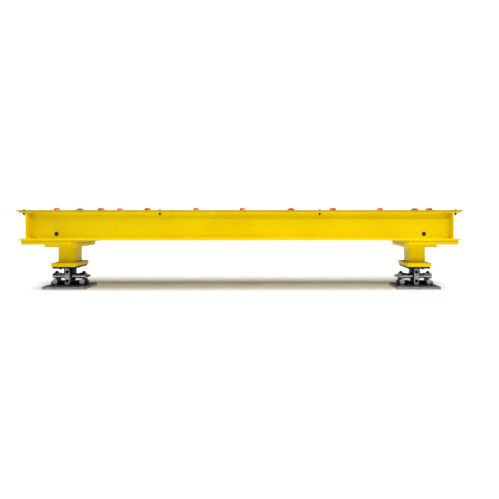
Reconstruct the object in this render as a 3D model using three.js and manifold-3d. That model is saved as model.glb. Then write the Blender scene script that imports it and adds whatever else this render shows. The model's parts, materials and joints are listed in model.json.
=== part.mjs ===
// Castor-deck weigh platform: a narrow welded I-beam frame that carries a steel deck with twelve swivel castors
// standing wheel-up through it. Each end stands on a pillar over a double-ended load-cell module.
// Millimetres, +Z up. X runs along the platform, -Y is its front, and the floor is Z = 0 below its centre.
import * as THREE from "three";
import { mergeVertices } from "three/addons/utils/BufferGeometryUtils.js";
import Module from "manifold-3d";

const wasm = await Module();
wasm.setup();

// ---- driving dimensions --------------------------------------------------------------------------------------

const GAP = 0.3; // between pieces that touch
const OVERLAP = 1; // of solids that are joined into one piece

// Platform frame, a rolled I section all round
const PLATFORM_LENGTH = 3318; // over the flange tips of the end beams
const PLATFORM_WIDTH = 480; // over the flanges of the front and rear beams
const BEAM_UNDERSIDE = 396; // above the floor
const BEAM_HEIGHT = 220;
const FLANGE_WIDTH = 110;
const FLANGE_THICKNESS = 12;
const WEB_THICKNESS = 6;
const ROOT_RADIUS = 12;

// Cable holes through the front and rear webs, near the feet
const CABLE_HOLE = 27;
const CABLE_HOLE_HEIGHT = 47; // above the beam's underside

// Deck
const DECK_THICKNESS = 8;
const DECK_OVERHANG = 13; // past the end beams' flange tips
const DECK_LIP = 6; // past the flanges of the front and rear beams
const DECK_CORNER = 3;
const DECK_HOLE_CLEARANCE = 2.4; // round the circle that a turning wheel sweeps through the deck
const DECK_HOLE_LAND = 12; // least deck metal between two holes

// Castors
const CASTORS_IN_FRONT_ROW = 9;
const WHEEL_DIAMETER = 75;
const WHEEL_WIDTH = 30;
const WHEEL_PROUD = 20; // of the deck's top face
const TREAD_CHAMFER = 3.5;
const TRAIL = 24; // from the swivel axis to the wheel's axle
const AXLE_DIAMETER = 12;
const AXLE_HEAD = 3; // past each fork leg
const LEG_THICKNESS = 3.5;
const LEG_CLEARANCE = 1.5; // between a leg and the wheel
const LEG_FOOT = 38; // length of a leg where it stands on the crown
const LEG_BOSS = 11; // radius round the axle
const CROWN_DIAMETER = 56;
const CROWN_THICKNESS = 6;
const CROWN_CLEARANCE = 5; // under the wheel
const SWIVEL_HEAD_HEIGHT = 10;
const SWIVEL_HEAD_TOP = 44; // its upper diameter
const SWIVEL_HEAD_FOOT = 58; // its lower diameter
const CASTOR_PLATE = 84; // square
const CASTOR_PLATE_THICKNESS = 6;
const SWEEP_CLEARANCE = 4; // between a turning castor and the flanges beside it

// The way that each castor happens to point, in degrees from +X
const FRONT_CASTOR_TURNS = [312, 142, 135, 297, 288, 357, 226, 236, 29];
// Rear castors: the front castor that each stands beside, which way along X, extra distance, and its turn
const REAR_CASTORS = [
  { beside: 0, side: 1, extra: 33, turn: 54 },
  { beside: 1, side: 1, extra: 27, turn: 129 },
  { beside: 8, side: -1, extra: 8, turn: 318 },
];

// Channels that carry the castors, and the bearer under their middle
const RAIL_WIDTH = 76;
const RAIL_HEIGHT = 50;
const RAIL_WALL = 5;
const BEARER_WIDTH = 80;
const BEARER_HEIGHT = 60; // less where the beams' fillets leave less room
const BEARER_WALL = 5;

// Feet: plates and a square pillar, stacked downwards from the beams
const FOOT_INSET = 255; // from the flange tip to the foot's centre
const CORNER_PLATE_LENGTH = 374;
const CORNER_PLATE_WIDTH = 456;
const CORNER_PLATE_THICKNESS = 33;
const CORNER_PLATE_INSET = 11; // from the flange tip
const PILLAR_TOP_LENGTH = 250;
const PILLAR_TOP_WIDTH = 294;
const PILLAR_TOP_THICKNESS = 27;
const PILLAR_SIDE = 130;
const PILLAR_WALL = 8;
const PILLAR_CORNER = 9;
const FOOT_PLATE_LENGTH = 190;
const FOOT_PLATE_WIDTH = 210;
const FOOT_PLATE_THICKNESS = 30;
const MODULE_TOP_LENGTH = 176;
const MODULE_TOP_WIDTH = 196;
const MODULE_TOP_THICKNESS = 15;
const MODULE_TOP_UNDERSIDE = 163; // above the floor

// Load-cell module
const BASE_LENGTH = 340;
const BASE_WIDTH = 206;
const BASE_THICKNESS = 20;
const ANCHOR_HOLE = 18;
const ANCHOR_EDGE = 22; // from the base plate's edges to an anchor hole's centre
const PIN_DIAMETER = 42;
const PIN_LENGTH = 64;
const PIN_SPACING = 220;
const PIN_BEDDING = 7; // from the base plate up to the pin
const PIN_BLOCK_OUTER = 29; // from the pin's axis outwards
const PIN_BLOCK_INNER = 68; // from the pin's axis to the module's middle
const PIN_BLOCK_WIDTH = 58;
const PIN_BLOCK_LIP = 4; // above the pin's axis
const CENTRE_BAR_WIDTH = 60;
const CENTRE_BAR_HEIGHT = 22;
const CELL_DIAMETER = 48;
const CELL_LENGTH = 270;
const CELL_WAIST = 40; // diameter of the two sensing stretches
const CELL_WAIST_LENGTH = 34;
const CELL_CENTRE_LENGTH = 84;
const CELL_EDGE = 2; // chamfer of its ends and slope of its waists
const SADDLE_LENGTH = 64;
const SADDLE_WIDTH = 72;
const SADDLE_GRIP = 12; // how far the saddle reaches down over the cell
const LINK_WIDTH = 36;
const LINK_THICKNESS = 10;
const LINK_CORNER = 6;
const LINK_UNDERSIDE = 25; // above the floor
const LINK_BOLT = 16;
const LINK_BOLT_HEAD = 24;
const LINK_BOLT_HEAD_HEIGHT = 9;
const LINK_BOLT_LIFT = 5; // between the cell and each link bolt
const GLAND_NUT = 24;
const GLAND_NUT_LENGTH = 12;
const GLAND_BARREL = 17;
const GLAND_LENGTH = 31;

const ROUND = 20; // sides of a large circle
const SMALL_ROUND = 12; // sides of a small one

// ---- worked-out places ---------------------------------------------------------------------------------------

const beamTop = BEAM_UNDERSIDE + BEAM_HEIGHT;
const deckTop = beamTop + DECK_THICKNESS;
const wheelRadius = WHEEL_DIAMETER / 2;
const axleHeight = deckTop + WHEEL_PROUD - wheelRadius;
const crownTop = axleHeight - wheelRadius - CROWN_CLEARANCE;
const crownUnderside = crownTop - CROWN_THICKNESS;
const swivelHeadTop = crownUnderside - GAP;
const railTop = swivelHeadTop - SWIVEL_HEAD_HEIGHT - CASTOR_PLATE_THICKNESS;

// Radius of the circle that a wheel sweeps about its swivel axis, at a height above its own axle
function sweepRadius(aboveAxle) {
  const halfChord = Math.sqrt(wheelRadius ** 2 - aboveAxle ** 2);
  return Math.hypot(TRAIL + halfChord, WHEEL_WIDTH / 2);
}

const deckHoleRadius = sweepRadius(Math.max(0, beamTop - axleHeight)) + DECK_HOLE_CLEARANCE;
const castorReach = sweepRadius(0) + SWEEP_CLEARANCE;
const rowY = PLATFORM_WIDTH / 2 - FLANGE_WIDTH - castorReach;
const lastCastorX = PLATFORM_LENGTH / 2 - FLANGE_WIDTH - castorReach;
const castorPitch = (2 * lastCastorX) / (CASTORS_IN_FRONT_ROW - 1);
const holeSpacing = 2 * deckHoleRadius + DECK_HOLE_LAND;
const rearShift = Math.sqrt(Math.max(0, holeSpacing ** 2 - (2 * rowY) ** 2));

const castors = [];
for (let i = 0; i < CASTORS_IN_FRONT_ROW; i++)
  castors.push({
    name: "front_" + (i + 1),
    x: -lastCastorX + i * castorPitch,
    y: -rowY,
    turn: FRONT_CASTOR_TURNS[i % FRONT_CASTOR_TURNS.length],
  });
REAR_CASTORS.forEach((rear, i) =>
  castors.push({
    name: "rear_" + (i + 1),
    x: castors[rear.beside].x + rear.side * (rearShift + rear.extra),
    y: rowY,
    turn: rear.turn,
  }),
);

const bearerTop = railTop - RAIL_HEIGHT - GAP;
const filletTop = BEAM_UNDERSIDE + FLANGE_THICKNESS + ROOT_RADIUS;
const bearerHeight = Math.min(BEARER_HEIGHT, bearerTop - filletTop - GAP);

const footX = PLATFORM_LENGTH / 2 - FOOT_INSET;
const cornerPlateUnderside = BEAM_UNDERSIDE - CORNER_PLATE_THICKNESS;
const pillarTop = cornerPlateUnderside - PILLAR_TOP_THICKNESS;
const footPlateUnderside = MODULE_TOP_UNDERSIDE + MODULE_TOP_THICKNESS;
const footPlateTop = footPlateUnderside + FOOT_PLATE_THICKNESS;
const pinHeight = BASE_THICKNESS + PIN_BEDDING + PIN_DIAMETER / 2;
const cellRadius = CELL_DIAMETER / 2;
const cellHeight = pinHeight + PIN_DIAMETER / 2 + GAP + cellRadius;
const upperLinkBolt = cellHeight + cellRadius + LINK_BOLT_LIFT + LINK_BOLT / 2;
const lowerLinkBolt = cellHeight - cellRadius - LINK_BOLT_LIFT - LINK_BOLT / 2;

// ---- solids --------------------------------------------------------------------------------------------------

// A closed three.js geometry as a manifold solid
function solid(geometry) {
  const bare = geometry.index ? geometry.toNonIndexed() : geometry.clone();
  bare.deleteAttribute("normal");
  bare.deleteAttribute("uv");
  const merged = mergeVertices(bare, 1e-3);
  return new wasm.Manifold(
    new wasm.Mesh({
      numProp: 3,
      vertProperties: merged.attributes.position.array,
      triVerts: new Uint32Array(merged.index.array),
    }),
  );
}

// A manifold solid as a flat-shaded three.js geometry
function geometryOf(body) {
  const mesh = body.getMesh();
  const positions = new Float32Array(mesh.numVert * 3);
  for (let i = 0; i < mesh.numVert; i++)
    for (let axis = 0; axis < 3; axis++)
      positions[i * 3 + axis] = mesh.vertProperties[i * mesh.numProp + axis];
  const geometry = new THREE.BufferGeometry();
  geometry.setAttribute("position", new THREE.BufferAttribute(positions, 3));
  geometry.setIndex(new THREE.BufferAttribute(mesh.triVerts, 1));
  const flat = geometry.toNonIndexed();
  flat.computeVertexNormals();
  return flat;
}

const join = (bodies) => bodies.reduce((all, body) => all.add(body));
const cut = (body, tools) => tools.reduce((left, tool) => left.subtract(tool), body);

// A block given by its size, its centre in X and Y, and its underside
function block(sizeX, sizeY, sizeZ, x, y, underside) {
  return solid(new THREE.BoxGeometry(sizeX, sizeY, sizeZ).translate(x, y, underside + sizeZ / 2));
}

// A round bar along "x", "y" or "z", centred on a point
function bar(axis, diameter, length, x, y, z, sides = SMALL_ROUND) {
  const geometry = new THREE.CylinderGeometry(diameter / 2, diameter / 2, length, sides);
  if (axis === "x") geometry.rotateZ(-Math.PI / 2);
  if (axis === "z") geometry.rotateX(Math.PI / 2);
  return solid(geometry.translate(x, y, z));
}

// An outline in X and Y pulled up to a height
function pulled(outline, height, underside, curveSegments = 3) {
  const geometry = new THREE.ExtrudeGeometry(outline, { depth: height, bevelEnabled: false, curveSegments });
  return solid(geometry.translate(0, 0, underside));
}

// A profile in Y and Z pulled along X, centred on X = 0
function pulledAlongX(profile, length, curveSegments = 3) {
  const geometry = new THREE.ExtrudeGeometry(profile, { depth: length, bevelEnabled: false, curveSegments });
  const toYZ = new THREE.Matrix4().makeBasis(
    new THREE.Vector3(0, 1, 0),
    new THREE.Vector3(0, 0, 1),
    new THREE.Vector3(1, 0, 0),
  );
  return solid(geometry.translate(0, 0, -length / 2).applyMatrix4(toYZ));
}

// A rectangle with round corners about the origin
function roundedRectangle(sizeX, sizeY, radius) {
  const x = sizeX / 2 - radius;
  const y = sizeY / 2 - radius;
  const outline = new THREE.Shape();
  outline.moveTo(x + radius, -y);
  outline.absarc(x, y, radius, 0, Math.PI / 2);
  outline.absarc(-x, y, radius, Math.PI / 2, Math.PI);
  outline.absarc(-x, -y, radius, Math.PI, 1.5 * Math.PI);
  outline.absarc(x, -y, radius, 1.5 * Math.PI, 2 * Math.PI);
  return outline;
}

// The rolled I section about its own centre, with filleted roots
function iSection() {
  const halfHeight = BEAM_HEIGHT / 2;
  const halfFlange = FLANGE_WIDTH / 2;
  const halfWeb = WEB_THICKNESS / 2;
  const inner = halfHeight - FLANGE_THICKNESS;
  const rootX = halfWeb + ROOT_RADIUS;
  const rootY = inner - ROOT_RADIUS;
  const quarter = Math.PI / 2;
  const section = new THREE.Shape();
  section.moveTo(-halfFlange, -halfHeight);
  section.lineTo(halfFlange, -halfHeight);
  section.lineTo(halfFlange, -inner);
  section.absarc(rootX, -rootY, ROOT_RADIUS, -quarter, -2 * quarter, true);
  section.absarc(rootX, rootY, ROOT_RADIUS, 2 * quarter, quarter, true);
  section.lineTo(halfFlange, inner);
  section.lineTo(halfFlange, halfHeight);
  section.lineTo(-halfFlange, halfHeight);
  section.lineTo(-halfFlange, inner);
  section.absarc(-rootX, rootY, ROOT_RADIUS, quarter, 0, true);
  section.absarc(-rootX, -rootY, ROOT_RADIUS, 0, -quarter, true);
  section.lineTo(-halfFlange, -inner);
  return section;
}

// ---- platform frame ------------------------------------------------------------------------------------------

const beamCentreHeight = BEAM_UNDERSIDE + BEAM_HEIGHT / 2;
const webToWeb = PLATFORM_LENGTH - FLANGE_WIDTH - WEB_THICKNESS - 2 * GAP; // clear length between the end webs
const betweenWebs = PLATFORM_WIDTH - FLANGE_WIDTH - WEB_THICKNESS - 2 * GAP; // clear width between the long webs

// A long beam about X = 0: its flanges stop at the end beams' flanges, and its web runs on into them, with its
// ends rounded to their fillets
function longBeam() {
  const flanged = pulledAlongX(iSection(), PLATFORM_LENGTH - 2 * FLANGE_WIDTH - 2 * GAP);
  const outline = roundedRectangle(webToWeb, BEAM_HEIGHT - 2 * (FLANGE_THICKNESS + GAP), ROOT_RADIUS);
  const tongue = pulled(outline, WEB_THICKNESS, -WEB_THICKNESS / 2).rotate([90, 0, 0]);
  const holeZ = CABLE_HOLE_HEIGHT - BEAM_HEIGHT / 2;
  const holes = [-footX, footX].map((x) => bar("y", CABLE_HOLE, FLANGE_WIDTH, x, 0, holeZ, ROUND));
  return cut(join([flanged, tongue]), holes);
}

function endBeam() {
  return pulledAlongX(iSection(), PLATFORM_WIDTH);
}

function deckPlate() {
  const length = PLATFORM_LENGTH + 2 * DECK_OVERHANG;
  const outline = roundedRectangle(length, PLATFORM_WIDTH + 2 * DECK_LIP, DECK_CORNER);
  for (const castor of castors) {
    const hole = new THREE.Path();
    hole.absarc(castor.x, castor.y, deckHoleRadius, 0, 2 * Math.PI);
    outline.holes.push(hole);
  }
  return pulled(outline, DECK_THICKNESS - GAP, beamTop + GAP, ROUND / 2);
}

// A channel, open below, with the plate and swivel head of each of its castors welded on
function castorRail(onRail) {
  const half = RAIL_WIDTH / 2;
  const inside = half - RAIL_WALL;
  const channel = new THREE.Shape();
  channel.moveTo(-half, railTop - RAIL_HEIGHT);
  channel.lineTo(-inside, railTop - RAIL_HEIGHT);
  channel.lineTo(-inside, railTop - RAIL_WALL);
  channel.lineTo(inside, railTop - RAIL_WALL);
  channel.lineTo(inside, railTop - RAIL_HEIGHT);
  channel.lineTo(half, railTop - RAIL_HEIGHT);
  channel.lineTo(half, railTop);
  channel.lineTo(-half, railTop);
  channel.closePath();
  const bodies = [pulledAlongX(channel, webToWeb)];
  for (const { x } of onRail) {
    const headHeight = SWIVEL_HEAD_HEIGHT + CASTOR_PLATE_THICKNESS / 2;
    const head = new THREE.CylinderGeometry(SWIVEL_HEAD_TOP / 2, SWIVEL_HEAD_FOOT / 2, headHeight, ROUND);
    head.rotateX(Math.PI / 2).translate(x, 0, swivelHeadTop - headHeight / 2);
    bodies.push(block(CASTOR_PLATE, CASTOR_PLATE, CASTOR_PLATE_THICKNESS + OVERLAP, x, 0, railTop - OVERLAP));
    bodies.push(solid(head));
  }
  return join(bodies);
}

// A box section across the frame under both rails, open at its ends
function midBearer() {
  const outer = block(BEARER_WIDTH, betweenWebs, bearerHeight, 0, 0, 0);
  const bore = block(
    BEARER_WIDTH - 2 * BEARER_WALL,
    PLATFORM_WIDTH,
    bearerHeight - 2 * BEARER_WALL,
    0,
    0,
    BEARER_WALL,
  );
  return cut(outer, [bore]);
}

// ---- castor --------------------------------------------------------------------------------------------------

// The fork about its swivel axis, with the wheel's axle at +TRAIL in X
function castorFork() {
  const axleUp = axleHeight - crownUnderside;
  const legInside = WHEEL_WIDTH / 2 + LEG_CLEARANCE;
  const leg = new THREE.Shape();
  leg.moveTo(-LEG_FOOT / 2, 0);
  leg.lineTo(LEG_FOOT / 2, 0);
  leg.lineTo(TRAIL + LEG_BOSS, axleUp);
  leg.absarc(TRAIL, axleUp, LEG_BOSS, 0, Math.PI);
  leg.lineTo(-LEG_FOOT / 2, 2 * CROWN_THICKNESS);
  leg.closePath();
  const legs = [-1, 1].map((side) => {
    const plate = new THREE.ExtrudeGeometry(leg, { depth: LEG_THICKNESS, bevelEnabled: false, curveSegments: 4 });
    plate.rotateX(Math.PI / 2).translate(0, side * (legInside + LEG_THICKNESS / 2) + LEG_THICKNESS / 2, 0);
    return solid(plate);
  });
  const crown = bar("z", CROWN_DIAMETER, CROWN_THICKNESS, 0, 0, CROWN_THICKNESS / 2, ROUND);
  const axleLength = 2 * (legInside + LEG_THICKNESS + AXLE_HEAD);
  return join([crown, ...legs, bar("y", AXLE_DIAMETER, axleLength, TRAIL, 0, axleUp)]);
}

// The wheel about its own axle, which runs along Y
function castorWheel() {
  const bore = AXLE_DIAMETER / 2 + GAP;
  const half = WHEEL_WIDTH / 2;
  const profile = [
    [bore, -half],
    [wheelRadius - TREAD_CHAMFER, -half],
    [wheelRadius, -half + TREAD_CHAMFER],
    [wheelRadius, half - TREAD_CHAMFER],
    [wheelRadius - TREAD_CHAMFER, half],
    [bore, half],
    [bore, -half],
  ];
  return solid(new THREE.LatheGeometry(profile.map(([r, y]) => new THREE.Vector2(r, y)), ROUND));
}

// ---- feet, about the foot's centre on the floor ----------------------------------------------------------------

// The corner plate stands off centre, under the end beam. "out" is +1 when outwards is +X
function cornerPlate(out) {
  const centre = FOOT_INSET - CORNER_PLATE_INSET - CORNER_PLATE_LENGTH / 2;
  const thickness = CORNER_PLATE_THICKNESS - GAP;
  return block(CORNER_PLATE_LENGTH, CORNER_PLATE_WIDTH, thickness, out * centre, 0, cornerPlateUnderside);
}

// Flush with the corner plate's inner edge
function pillarTopPlate(out) {
  const innerEdge = FOOT_INSET - CORNER_PLATE_INSET - CORNER_PLATE_LENGTH;
  const centre = innerEdge + PILLAR_TOP_LENGTH / 2;
  return block(PILLAR_TOP_LENGTH, PILLAR_TOP_WIDTH, PILLAR_TOP_THICKNESS - GAP, out * centre, 0, pillarTop);
}

function pillar() {
  const outline = roundedRectangle(PILLAR_SIDE, PILLAR_SIDE, PILLAR_CORNER);
  const inside = PILLAR_SIDE - 2 * PILLAR_WALL;
  outline.holes.push(roundedRectangle(inside, inside, PILLAR_CORNER - PILLAR_WALL));
  return pulled(outline, pillarTop - footPlateTop - 2 * GAP, footPlateTop + GAP);
}

function pillarFootPlate() {
  const underside = footPlateUnderside + GAP;
  return block(FOOT_PLATE_LENGTH, FOOT_PLATE_WIDTH, FOOT_PLATE_THICKNESS - GAP, 0, 0, underside);
}

// The module's top plate with the saddle welded under it, hollowed to sit over the cell
function moduleTopPlate() {
  const plate = block(MODULE_TOP_LENGTH, MODULE_TOP_WIDTH, MODULE_TOP_THICKNESS, 0, 0, MODULE_TOP_UNDERSIDE);
  const saddleFoot = cellHeight + cellRadius - SADDLE_GRIP;
  const saddleHeight = MODULE_TOP_UNDERSIDE + OVERLAP - saddleFoot;
  const saddle = block(SADDLE_LENGTH, SADDLE_WIDTH, saddleHeight, 0, 0, saddleFoot);
  const seat = bar("x", CELL_DIAMETER + 2 * GAP, SADDLE_LENGTH * 2, 0, 0, cellHeight, ROUND);
  const boltHole = bar("y", LINK_BOLT + 2 * GAP, SADDLE_WIDTH * 2, 0, 0, upperLinkBolt);
  return cut(join([plate, saddle]), [seat, boltHole]);
}

// The cell, waisted between its centre and its two ends
function loadCell() {
  const end = CELL_LENGTH / 2;
  const waistIn = CELL_CENTRE_LENGTH / 2;
  const waistOut = waistIn + CELL_WAIST_LENGTH;
  const thin = CELL_WAIST / 2;
  const profile = [
    [0, -end],
    [cellRadius - CELL_EDGE, -end],
    [cellRadius, -end + CELL_EDGE],
    [cellRadius, -waistOut],
    [thin, -waistOut + CELL_EDGE],
    [thin, -waistIn - CELL_EDGE],
    [cellRadius, -waistIn],
    [cellRadius, waistIn],
    [thin, waistIn + CELL_EDGE],
    [thin, waistOut - CELL_EDGE],
    [cellRadius, waistOut],
    [cellRadius, end - CELL_EDGE],
    [cellRadius - CELL_EDGE, end],
    [0, end],
  ];
  const turned = new THREE.LatheGeometry(profile.map(([r, y]) => new THREE.Vector2(r, y)), ROUND);
  return solid(turned.rotateZ(-Math.PI / 2).translate(0, 0, cellHeight));
}

// Screwed into the cell's inner end
function cableGland(out) {
  const start = CELL_LENGTH / 2 + GAP;
  const at = (from, length) => -out * (from + length / 2);
  const nut = bar("x", GLAND_NUT, GLAND_NUT_LENGTH, at(start, GLAND_NUT_LENGTH), 0, cellHeight, 6);
  const barrel = bar("x", GLAND_BARREL, GLAND_LENGTH, at(start, GLAND_LENGTH), 0, cellHeight);
  return join([nut, barrel]);
}

function crossPin(x) {
  return bar("y", PIN_DIAMETER, PIN_LENGTH, x, 0, pinHeight, ROUND);
}

// Base plate with its two pin blocks and the bar between them, drilled for four anchors
function basePlate() {
  const blockHeight = pinHeight + PIN_BLOCK_LIP - BASE_THICKNESS + OVERLAP;
  const bodies = [
    block(BASE_LENGTH, BASE_WIDTH, BASE_THICKNESS, 0, 0, 0),
    block(PIN_SPACING, CENTRE_BAR_WIDTH, CENTRE_BAR_HEIGHT + OVERLAP, 0, 0, BASE_THICKNESS - OVERLAP),
  ];
  const holes = [];
  for (const side of [-1, 1]) {
    const pinX = (side * PIN_SPACING) / 2;
    const blockX = pinX + (side * (PIN_BLOCK_OUTER - PIN_BLOCK_INNER)) / 2;
    const blockLength = PIN_BLOCK_OUTER + PIN_BLOCK_INNER;
    bodies.push(block(blockLength, PIN_BLOCK_WIDTH, blockHeight, blockX, 0, BASE_THICKNESS - OVERLAP));
    holes.push(bar("y", PIN_DIAMETER + 2 * GAP, PIN_LENGTH, pinX, 0, pinHeight, ROUND));
    for (const edge of [-1, 1])
      holes.push(
        bar(
          "z",
          ANCHOR_HOLE,
          4 * BASE_THICKNESS,
          side * (BASE_LENGTH / 2 - ANCHOR_EDGE),
          edge * (BASE_WIDTH / 2 - ANCHOR_EDGE),
          0,
        ),
      );
  }
  return cut(join(bodies), holes);
}

// A strap on one face of the saddle, from above the upper link bolt to below the lower one
function linkPlate(face) {
  const top = MODULE_TOP_UNDERSIDE - GAP;
  const height = top - LINK_UNDERSIDE;
  const y = face * (SADDLE_WIDTH / 2 + GAP + LINK_THICKNESS / 2);
  const outline = roundedRectangle(LINK_WIDTH, height, LINK_CORNER);
  const strap = new THREE.ExtrudeGeometry(outline, {
    depth: LINK_THICKNESS,
    bevelEnabled: false,
    curveSegments: 3,
  });
  strap.rotateX(Math.PI / 2).translate(0, y + LINK_THICKNESS / 2, LINK_UNDERSIDE + height / 2);
  const boltHoles = [upperLinkBolt, lowerLinkBolt].map((z) =>
    bar("y", LINK_BOLT + 2 * GAP, 2 * LINK_THICKNESS, 0, y, z),
  );
  return cut(solid(strap), boltHoles);
}

// A through bolt with its head in front and its nut behind
function linkBolt(height) {
  const grip = SADDLE_WIDTH + 2 * (LINK_THICKNESS + 2 * GAP);
  const shank = bar("y", LINK_BOLT, grip + 2 * LINK_BOLT_HEAD_HEIGHT - 1, 0, 0, height);
  const ends = [-1, 1].map((side) =>
    bar(
      "y",
      LINK_BOLT_HEAD,
      LINK_BOLT_HEAD_HEIGHT,
      0,
      (side * (grip + LINK_BOLT_HEAD_HEIGHT)) / 2,
      height,
      6,
    ),
  );
  return join([shank, ...ends]);
}

// ---- materials and assembly ----------------------------------------------------------------------------------

const paint = () => new THREE.MeshStandardMaterial({ color: 0xf2cc00, roughness: 0.35, metalness: 0.1 });
const darkSteel = () => new THREE.MeshStandardMaterial({ color: 0x2b2926, roughness: 0.55, metalness: 0.7 });
const plateSteel = () => new THREE.MeshStandardMaterial({ color: 0x7d7d82, roughness: 0.5, metalness: 0.8 });
const brightSteel = () => new THREE.MeshStandardMaterial({ color: 0xb4b0b8, roughness: 0.25, metalness: 0.95 });
const zinc = () => new THREE.MeshStandardMaterial({ color: 0xa3a2ad, roughness: 0.4, metalness: 0.85 });
const tread = () => new THREE.MeshStandardMaterial({ color: 0xc8501e, roughness: 0.5, metalness: 0 });

const platform = new THREE.Group();

function place(name, body, material, parent = platform) {
  const mesh = new THREE.Mesh(geometryOf(body), material);
  mesh.name = name;
  parent.add(mesh);
  return mesh;
}

const longBeamOffset = (PLATFORM_WIDTH - FLANGE_WIDTH) / 2;
place("front_beam", longBeam(), paint()).position.set(0, -longBeamOffset, beamCentreHeight);
place("rear_beam", longBeam(), paint()).position.set(0, longBeamOffset, beamCentreHeight);

for (const [side, out] of [
  ["left", -1],
  ["right", 1],
]) {
  const beam = place(side + "_end_beam", endBeam(), paint());
  beam.rotation.z = Math.PI / 2;
  beam.position.set((out * (PLATFORM_LENGTH - FLANGE_WIDTH)) / 2, 0, beamCentreHeight);
}

place("deck_plate", deckPlate(), paint());
const inFront = castors.filter((castor) => castor.y < 0);
const inRear = castors.filter((castor) => castor.y > 0);
place("front_castor_rail", castorRail(inFront), paint()).position.y = -rowY;
place("rear_castor_rail", castorRail(inRear), paint()).position.y = rowY;
place("mid_bearer", midBearer(), paint()).position.z = bearerTop - bearerHeight;

for (const castor of castors) {
  const swivel = new THREE.Group();
  swivel.position.set(castor.x, castor.y, 0);
  swivel.rotation.z = THREE.MathUtils.degToRad(castor.turn);
  place("fork_" + castor.name, castorFork(), zinc(), swivel).position.z = crownUnderside;
  place("wheel_" + castor.name, castorWheel(), tread(), swivel).position.set(TRAIL, 0, axleHeight);
  platform.add(swivel);
}

for (const [side, out] of [
  ["left", -1],
  ["right", 1],
]) {
  const foot = new THREE.Group();
  foot.position.x = out * footX;
  place(side + "_corner_plate", cornerPlate(out), paint(), foot);
  place(side + "_pillar_top_plate", pillarTopPlate(out), paint(), foot);
  place(side + "_pillar", pillar(), paint(), foot);
  place(side + "_pillar_foot_plate", pillarFootPlate(), paint(), foot);
  place(side + "_module_top_plate", moduleTopPlate(), darkSteel(), foot);
  place(side + "_load_cell", loadCell(), brightSteel(), foot);
  place(side + "_cable_gland", cableGland(out), zinc(), foot);
  place(side + "_base_plate", basePlate(), plateSteel(), foot);
  place(side + "_inner_cross_pin", crossPin((-out * PIN_SPACING) / 2), zinc(), foot);
  place(side + "_outer_cross_pin", crossPin((out * PIN_SPACING) / 2), zinc(), foot);
  place(side + "_front_link_plate", linkPlate(-1), zinc(), foot);
  place(side + "_rear_link_plate", linkPlate(1), zinc(), foot);
  place(side + "_upper_link_bolt", linkBolt(upperLinkBolt), darkSteel(), foot);
  place(side + "_lower_link_bolt", linkBolt(lowerLinkBolt), darkSteel(), foot);
  platform.add(foot);
}

export default platform;
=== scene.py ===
# %% [markdown]
# # A castor-deck weigh platform
#
# Long cargo pallets roll over this platform while it weighs them. A frame of rolled I beams carries a steel deck.
# Castors stand wheel-up through round holes in the deck, and each end of the frame stands on a pillar over a
# load-cell module. The frame's sizes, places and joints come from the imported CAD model. This script dresses that
# model: it rounds the edges of plates and beams, turns the round parts finely, adds welds and fasteners, and gives
# every surface a material.

# %% Load the frame
import json
import math

import bmesh
import bpy
from mathutils import Matrix, Vector


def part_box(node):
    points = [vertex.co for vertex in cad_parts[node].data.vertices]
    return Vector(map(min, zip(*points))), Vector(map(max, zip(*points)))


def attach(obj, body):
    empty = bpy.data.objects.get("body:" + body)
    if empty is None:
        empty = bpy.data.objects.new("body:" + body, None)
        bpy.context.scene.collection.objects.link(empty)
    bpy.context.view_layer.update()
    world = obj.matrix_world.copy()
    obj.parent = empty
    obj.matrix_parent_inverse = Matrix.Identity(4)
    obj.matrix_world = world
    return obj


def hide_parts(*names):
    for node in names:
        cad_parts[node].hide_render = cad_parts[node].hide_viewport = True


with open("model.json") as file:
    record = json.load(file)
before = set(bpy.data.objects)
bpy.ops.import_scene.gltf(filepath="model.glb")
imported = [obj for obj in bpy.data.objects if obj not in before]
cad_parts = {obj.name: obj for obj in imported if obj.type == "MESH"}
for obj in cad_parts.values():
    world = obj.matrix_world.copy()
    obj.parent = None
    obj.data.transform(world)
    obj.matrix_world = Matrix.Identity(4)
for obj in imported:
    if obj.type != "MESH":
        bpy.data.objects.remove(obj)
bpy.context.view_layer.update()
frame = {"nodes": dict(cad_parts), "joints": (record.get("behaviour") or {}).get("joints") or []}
bpy.ops.object.select_all(action="DESELECT")

# %% [markdown]
# ## The camera and the studio
#
# A product of this length is photographed from close by, with the camera level and a little off centre. A level
# camera keeps upright edges upright, and the lens is shifted instead of tilted. The floor and the background are
# plain and pale, so that the yellow paint carries the picture.

# %% Camera
MM = 0.001
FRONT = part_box("front_beam")[0].y
camera = bpy.data.objects.new("camera", bpy.data.cameras.new("camera"))
bpy.context.collection.objects.link(camera)
bpy.context.scene.camera = camera
CAMERA_RIGHT = 250 * MM
CAMERA_BACK = 2700 * MM
CAMERA_UP = 579 * MM
camera.location = (CAMERA_RIGHT, FRONT - CAMERA_BACK, CAMERA_UP)
camera.rotation_euler = (math.radians(90), 0, 0)
camera.data.lens = 25.97
camera.data.shift_x = -0.047
camera.data.shift_y = -0.067
camera.data.clip_end = 300
print("camera at", [round(v, 3) for v in camera.location])

# %% [markdown]
# ## Working helpers
#
# Every piece is made the same way: a primitive, a few edit-mode steps, modifiers that are applied, and then its
# place is written into its mesh. These helpers hold the steps that come back all the time. Operators act on
# whatever is selected, so each piece is made the only selected one first.

# %% Selecting and finishing
def only(*pieces):
    """Selects these pieces alone, the first one active."""
    bpy.ops.object.select_all(action="DESELECT")
    for piece in pieces:
        piece.select_set(True)
    bpy.context.view_layer.objects.active = pieces[0]


def edit(piece):
    """Opens a piece with everything in it selected, point by point."""
    only(piece)
    bpy.ops.object.mode_set(mode="EDIT")
    bpy.ops.mesh.select_mode(type="VERT")
    bpy.ops.mesh.select_all(action="SELECT")


def close():
    """Leaves edit mode."""
    bpy.ops.object.mode_set(mode="OBJECT")


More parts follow.
